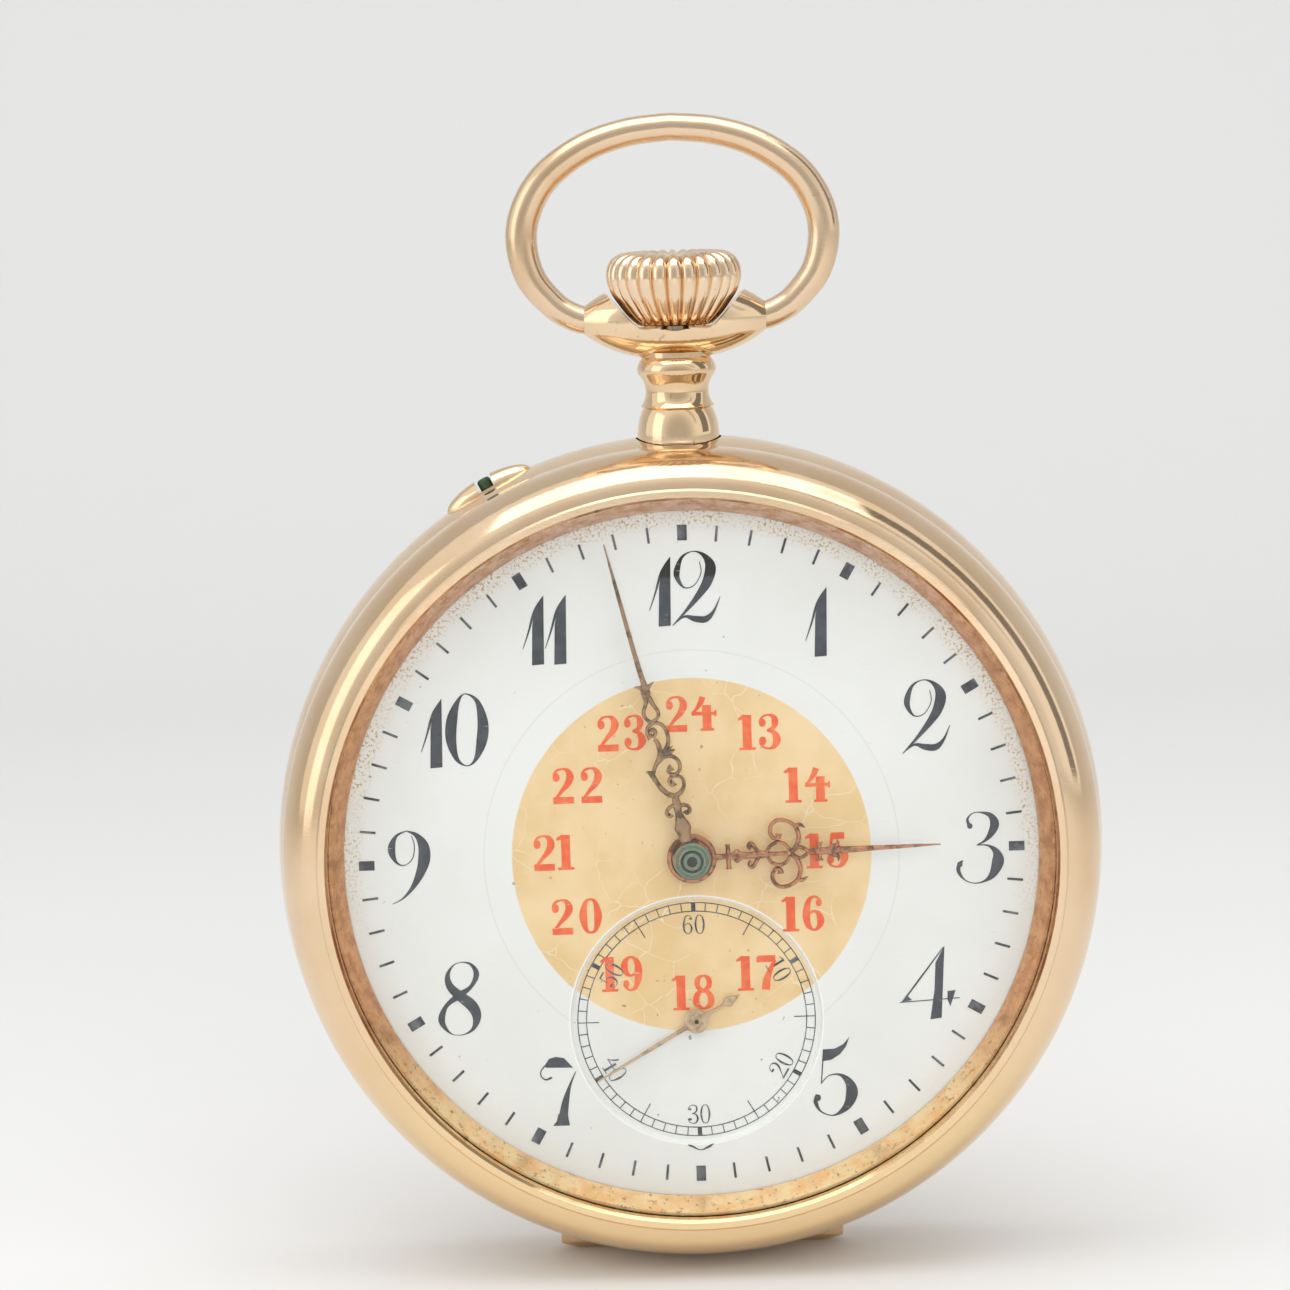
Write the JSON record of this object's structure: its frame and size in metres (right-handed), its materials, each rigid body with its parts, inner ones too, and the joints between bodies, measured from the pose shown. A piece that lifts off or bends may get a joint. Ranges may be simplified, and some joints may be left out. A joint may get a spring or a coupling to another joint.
{
  "type": "open face pocket watch",
  "caption": "Round open face pocket watch with a hinged back, a swinging bow, a fluted winding crown and a small seconds dial.",
  "frame": {"origin": "on the axis of the hour and minute hands, in the front face of the dial", "axes": "+Z towards the crown (12 o'clock), +X towards 3 o'clock, +Y from the dial towards the back cover"},
  "size_m": [0.0506, 0.0139, 0.0706],
  "materials": {
    "case_gold": "polished, lightly worn",
    "crystal": "clear",
    "enamel": "gloss",
    "hand_copper": "tarnished",
    "gilt_plate": "frosted gilt",
    "wheel_brass": "polished",
    "steel": "polished",
    "blued_steel": "blued",
    "ruby": "polished"
  },
  "bodies": {
    "case": {"middle_case": "case_gold", "bezel": "case_gold", "crystal": "crystal", "pendant": "case_gold", "hinge_pin": "steel", "dial": "enamel", "main_plate": "gilt_plate", "barrel_bridge": "gilt_plate", "train_bridge": "gilt_plate", "balance_cock": "gilt_plate", "pallet_cock": "gilt_plate", "case_screws": "blued_steel", "bridge_screws": "blued_steel", "train_jewels": "ruby", "hairspring_stud": "steel", "hairspring": "blued_steel", "click_spring": "blued_steel", "crown_wheel_screw": "blued_steel"},
    "bow": {"bow": "case_gold"},
    "crown": {"crown": "case_gold", "stem": "steel", "winding_pinion": "steel"},
    "crown_wheel": {"crown_wheel": "steel"},
    "ratchet": {"ratchet_wheel": "steel", "barrel_arbor": "steel", "ratchet_screw": "blued_steel"},
    "set_pusher": {"set_pusher": "steel"},
    "sliding_pinion": {"sliding_pinion": "steel"},
    "yoke": {"yoke": "steel"},
    "click": {"click": "steel"},
    "minute_hand": {"minute_hand": "hand_copper", "cannon_pinion": "steel", "centre_pinion": "steel", "centre_wheel": "wheel_brass"},
    "hour_hand": {"hour_hand": "hand_copper", "hour_wheel": "wheel_brass"},
    "seconds_hand": {"seconds_hand": "hand_copper", "fourth_pinion": "steel", "fourth_wheel": "wheel_brass"},
    "barrel": {"barrel_drum": "wheel_brass", "barrel_lid": "wheel_brass", "mainspring": "steel"},
    "third_wheel": {"third_wheel": "wheel_brass", "third_pinion": "steel"},
    "escape_wheel": {"escape_wheel": "steel", "escape_pinion": "steel"},
    "minute_wheel": {"minute_wheel": "wheel_brass"},
    "intermediate_wheel": {"intermediate_wheel": "wheel_brass"},
    "setting_wheel": {"setting_wheel": "wheel_brass"},
    "pallets": {"pallet_fork": "steel", "pallet_stones": "ruby"},
    "balance": {"balance_wheel": "wheel_brass", "balance_screws": "wheel_brass", "balance_staff": "steel"},
    "regulator": {"regulator": "steel"},
    "back_cover": {"back_cover": "case_gold"},
    "cuvette": {"cuvette": "case_gold"}
  },
  "joints": [
    {"name": "back_cover_open", "type": "hinge", "parent": "case", "child": "back_cover", "pos_m": [0, 0.0065, -0.0252], "axis": [-1, 0, 0], "range_deg": [0, 110]},
    {"name": "bow_tilt", "type": "hinge", "parent": "case", "child": "bow", "pos_m": [0, 0.00385, 0.0324], "axis": [1, 0, 0], "range_deg": [-90, 90]},
    {"name": "crown_turn", "type": "hinge", "parent": "case", "child": "crown", "pos_m": [0, 0.00385, 0], "axis": [0, 0, 1], "continuous": true},
    {"name": "cuvette_open", "type": "hinge", "parent": "case", "child": "cuvette", "pos_m": [0, 0.0065, -0.0252], "axis": [-1, 0, 0], "range_deg": [0, 66]},
    {"name": "hands_turn", "type": "hinge", "parent": "case", "child": "minute_hand", "pos_m": [0, 0, 0], "axis": [0, 1, 0], "continuous": true},
    {"name": "hour_hand_turn", "type": "hinge", "parent": "case", "child": "hour_hand", "pos_m": [0, 0, 0], "axis": [0, 1, 0], "continuous": true},
    {"name": "push_set_pin", "type": "slide", "parent": "case", "child": "set_pusher", "axis": [0.4633, 0, -0.8862], "range_m": [0, 0.0005]},
    {"name": "seconds_hand_turn", "type": "hinge", "parent": "case", "child": "seconds_hand", "pos_m": [0, 0, -0.0102], "axis": [0, 1, 0], "continuous": true},
    {"name": "movement_balance", "type": "hinge", "parent": "case", "child": "balance", "pos_m": [-0.011, 0, -0.0079], "axis": [0, 1, 0], "range_deg": [-270, 270]},
    {"name": "movement_click", "type": "hinge", "parent": "case", "child": "click", "pos_m": [-0.0126, 0, 0.0104], "axis": [0, 1, 0], "range_deg": [0, 8]},
    {"name": "movement_crown_wheel", "type": "hinge", "parent": "case", "child": "crown_wheel", "pos_m": [0, 0, 0.0136], "axis": [0, 1, 0], "continuous": true},
    {"name": "movement_pallets", "type": "hinge", "parent": "case", "child": "pallets", "pos_m": [-0.00753, 0, -0.01026], "axis": [0, 1, 0], "range_deg": [-5, 5]},
    {"name": "movement_ratchet", "type": "hinge", "parent": "case", "child": "ratchet", "pos_m": [-0.00636, 0, 0.00636], "axis": [0, 1, 0], "continuous": true},
    {"name": "movement_regulator", "type": "hinge", "parent": "case", "child": "regulator", "pos_m": [-0.011, 0, -0.0079], "axis": [0, 1, 0], "range_deg": [-20, 20]},
    {"name": "movement_sliding_pinion", "type": "slide", "parent": "crown", "child": "sliding_pinion", "axis": [0, 0, -1], "range_m": [0, 0.00084]},
    {"name": "movement_yoke", "type": "hinge", "parent": "case", "child": "yoke", "pos_m": [-0.015, 0, 0.012], "axis": [0, 1, 0], "range_deg": [0, 3.71]},
    {"name": "train_barrel", "type": "hinge", "parent": "case", "child": "barrel", "pos_m": [-0.00636, 0, 0.00636], "axis": [0, 1, 0], "continuous": true},
    {"name": "train_escape_wheel", "type": "hinge", "parent": "case", "child": "escape_wheel", "pos_m": [-0.00496, 0, -0.012], "axis": [0, 1, 0], "continuous": true},
    {"name": "train_intermediate_wheel", "type": "hinge", "parent": "case", "child": "intermediate_wheel", "pos_m": [0, 0, 0.00753], "axis": [0, 1, 0], "continuous": true},
    {"name": "train_minute_wheel", "type": "hinge", "parent": "case", "child": "minute_wheel", "pos_m": [0, 0, 0.003], "axis": [0, 1, 0], "continuous": true},
    {"name": "train_setting_wheel", "type": "hinge", "parent": "case", "child": "setting_wheel", "pos_m": [0, 0, 0.01206], "axis": [0, 1, 0], "continuous": true},
    {"name": "train_third_wheel", "type": "hinge", "parent": "case", "child": "third_wheel", "pos_m": [0.00412, 0, -0.00591], "axis": [0, 1, 0], "continuous": true}
  ],
  "couplings": [
    {"joint": "cuvette_open", "follows": "back_cover_open", "ratio": 0.6},
    {"joint": "train_barrel", "follows": "hands_turn", "ratio": -0.125},
    {"joint": "train_third_wheel", "follows": "hands_turn", "ratio": -8},
    {"joint": "seconds_hand_turn", "follows": "hands_turn", "ratio": 60},
    {"joint": "train_escape_wheel", "follows": "hands_turn", "ratio": -600},
    {"joint": "hour_hand_turn", "follows": "hands_turn", "ratio": 0.083333},
    {"joint": "train_minute_wheel", "follows": "hands_turn", "ratio": -0.33333},
    {"joint": "train_intermediate_wheel", "follows": "hands_turn", "ratio": 0.33333},
    {"joint": "train_setting_wheel", "follows": "hands_turn", "ratio": -0.33333},
    {"joint": "movement_crown_wheel", "follows": "crown_turn", "ratio": -0.42857},
    {"joint": "movement_ratchet", "follows": "crown_turn", "ratio": 0.33333},
    {"joint": "movement_sliding_pinion", "follows": "push_set_pin", "ratio": 1.68},
    {"joint": "movement_yoke", "follows": "push_set_pin", "rad_per_m": 129}
  ]
}
